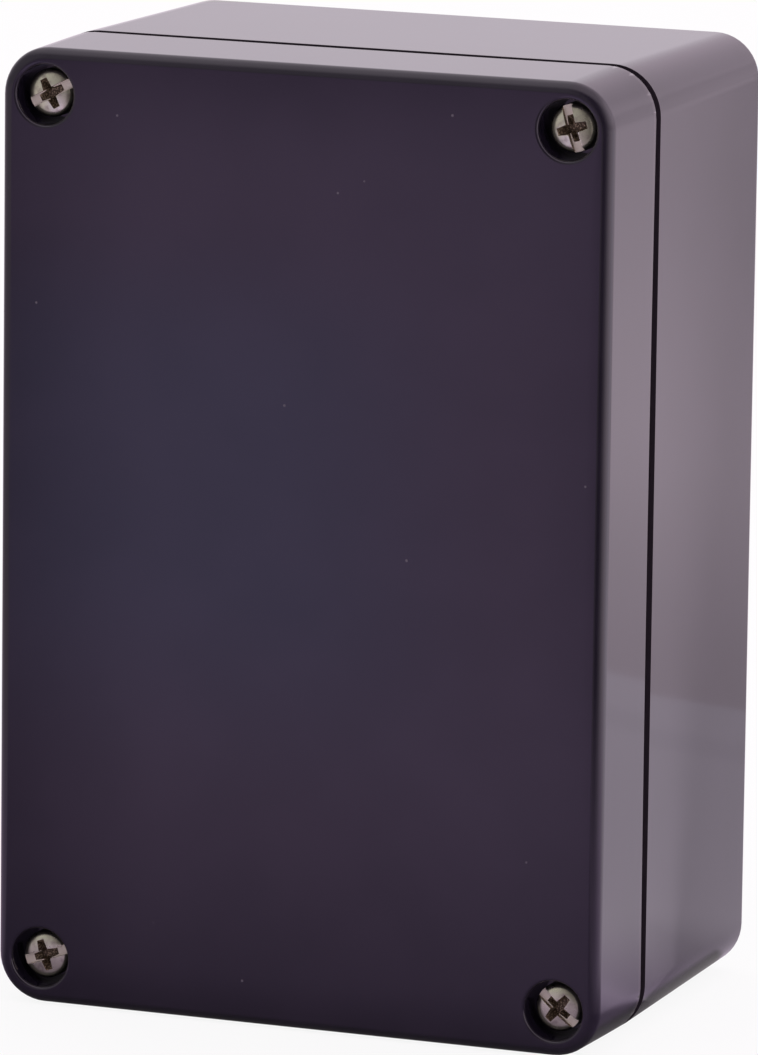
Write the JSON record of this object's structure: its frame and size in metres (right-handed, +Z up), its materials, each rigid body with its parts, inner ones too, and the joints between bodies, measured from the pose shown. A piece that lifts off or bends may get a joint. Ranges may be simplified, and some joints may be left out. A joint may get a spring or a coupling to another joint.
{
  "type": "plastic project box",
  "caption": "Sealed rectangular plastic enclosure: deep base and shallow lid with a shadow line, captive lid screws in corner wells, gasket and wall-fixing holes.",
  "frame": {"origin": "centre of the bounding box's bottom face; the box stands on its short end", "axes": "+X across the width to the right as seen from the front, -Y out of the lid's front face, +Z up along the length"},
  "size_m": [0.08, 0.055, 0.12],
  "materials": {
    "case_plastic": "satin moulded black plastic with a faint violet tone",
    "gasket_rubber": "matt black foamed rubber",
    "screw_steel": "plain stainless steel",
    "insert_brass": "machined brass with knurled bands",
    "retainer_nylon": "natural nylon"
  },
  "bodies": {
    "base": {"base": "case_plastic", "insert_top_left": "insert_brass", "insert_top_right": "insert_brass", "insert_bottom_right": "insert_brass", "insert_bottom_left": "insert_brass"},
    "lid": {"lid": "case_plastic", "gasket": "gasket_rubber", "retainer_top_left": "retainer_nylon", "retainer_top_right": "retainer_nylon", "retainer_bottom_right": "retainer_nylon", "retainer_bottom_left": "retainer_nylon"},
    "screw_top_left": {"lid_screw_top_left": "screw_steel"},
    "screw_top_right": {"lid_screw_top_right": "screw_steel"},
    "screw_bottom_right": {"lid_screw_bottom_right": "screw_steel"},
    "screw_bottom_left": {"lid_screw_bottom_left": "screw_steel"}
  },
  "joints": [
    {"name": "lid_lift", "type": "slide", "parent": "base", "child": "lid", "axis": [0, -1, 0], "range_m": [0, 0.05]},
    {"name": "screw_top_left_back_out", "type": "slide", "parent": "lid", "child": "screw_top_left", "axis": [0, -1, 0], "range_m": [0, 0.00865]},
    {"name": "screw_top_right_back_out", "type": "slide", "parent": "lid", "child": "screw_top_right", "axis": [0, -1, 0], "range_m": [0, 0.00865]},
    {"name": "screw_bottom_right_back_out", "type": "slide", "parent": "lid", "child": "screw_bottom_right", "axis": [0, -1, 0], "range_m": [0, 0.00865]},
    {"name": "screw_bottom_left_back_out", "type": "slide", "parent": "lid", "child": "screw_bottom_left", "axis": [0, -1, 0], "range_m": [0, 0.00865]}
  ]
}
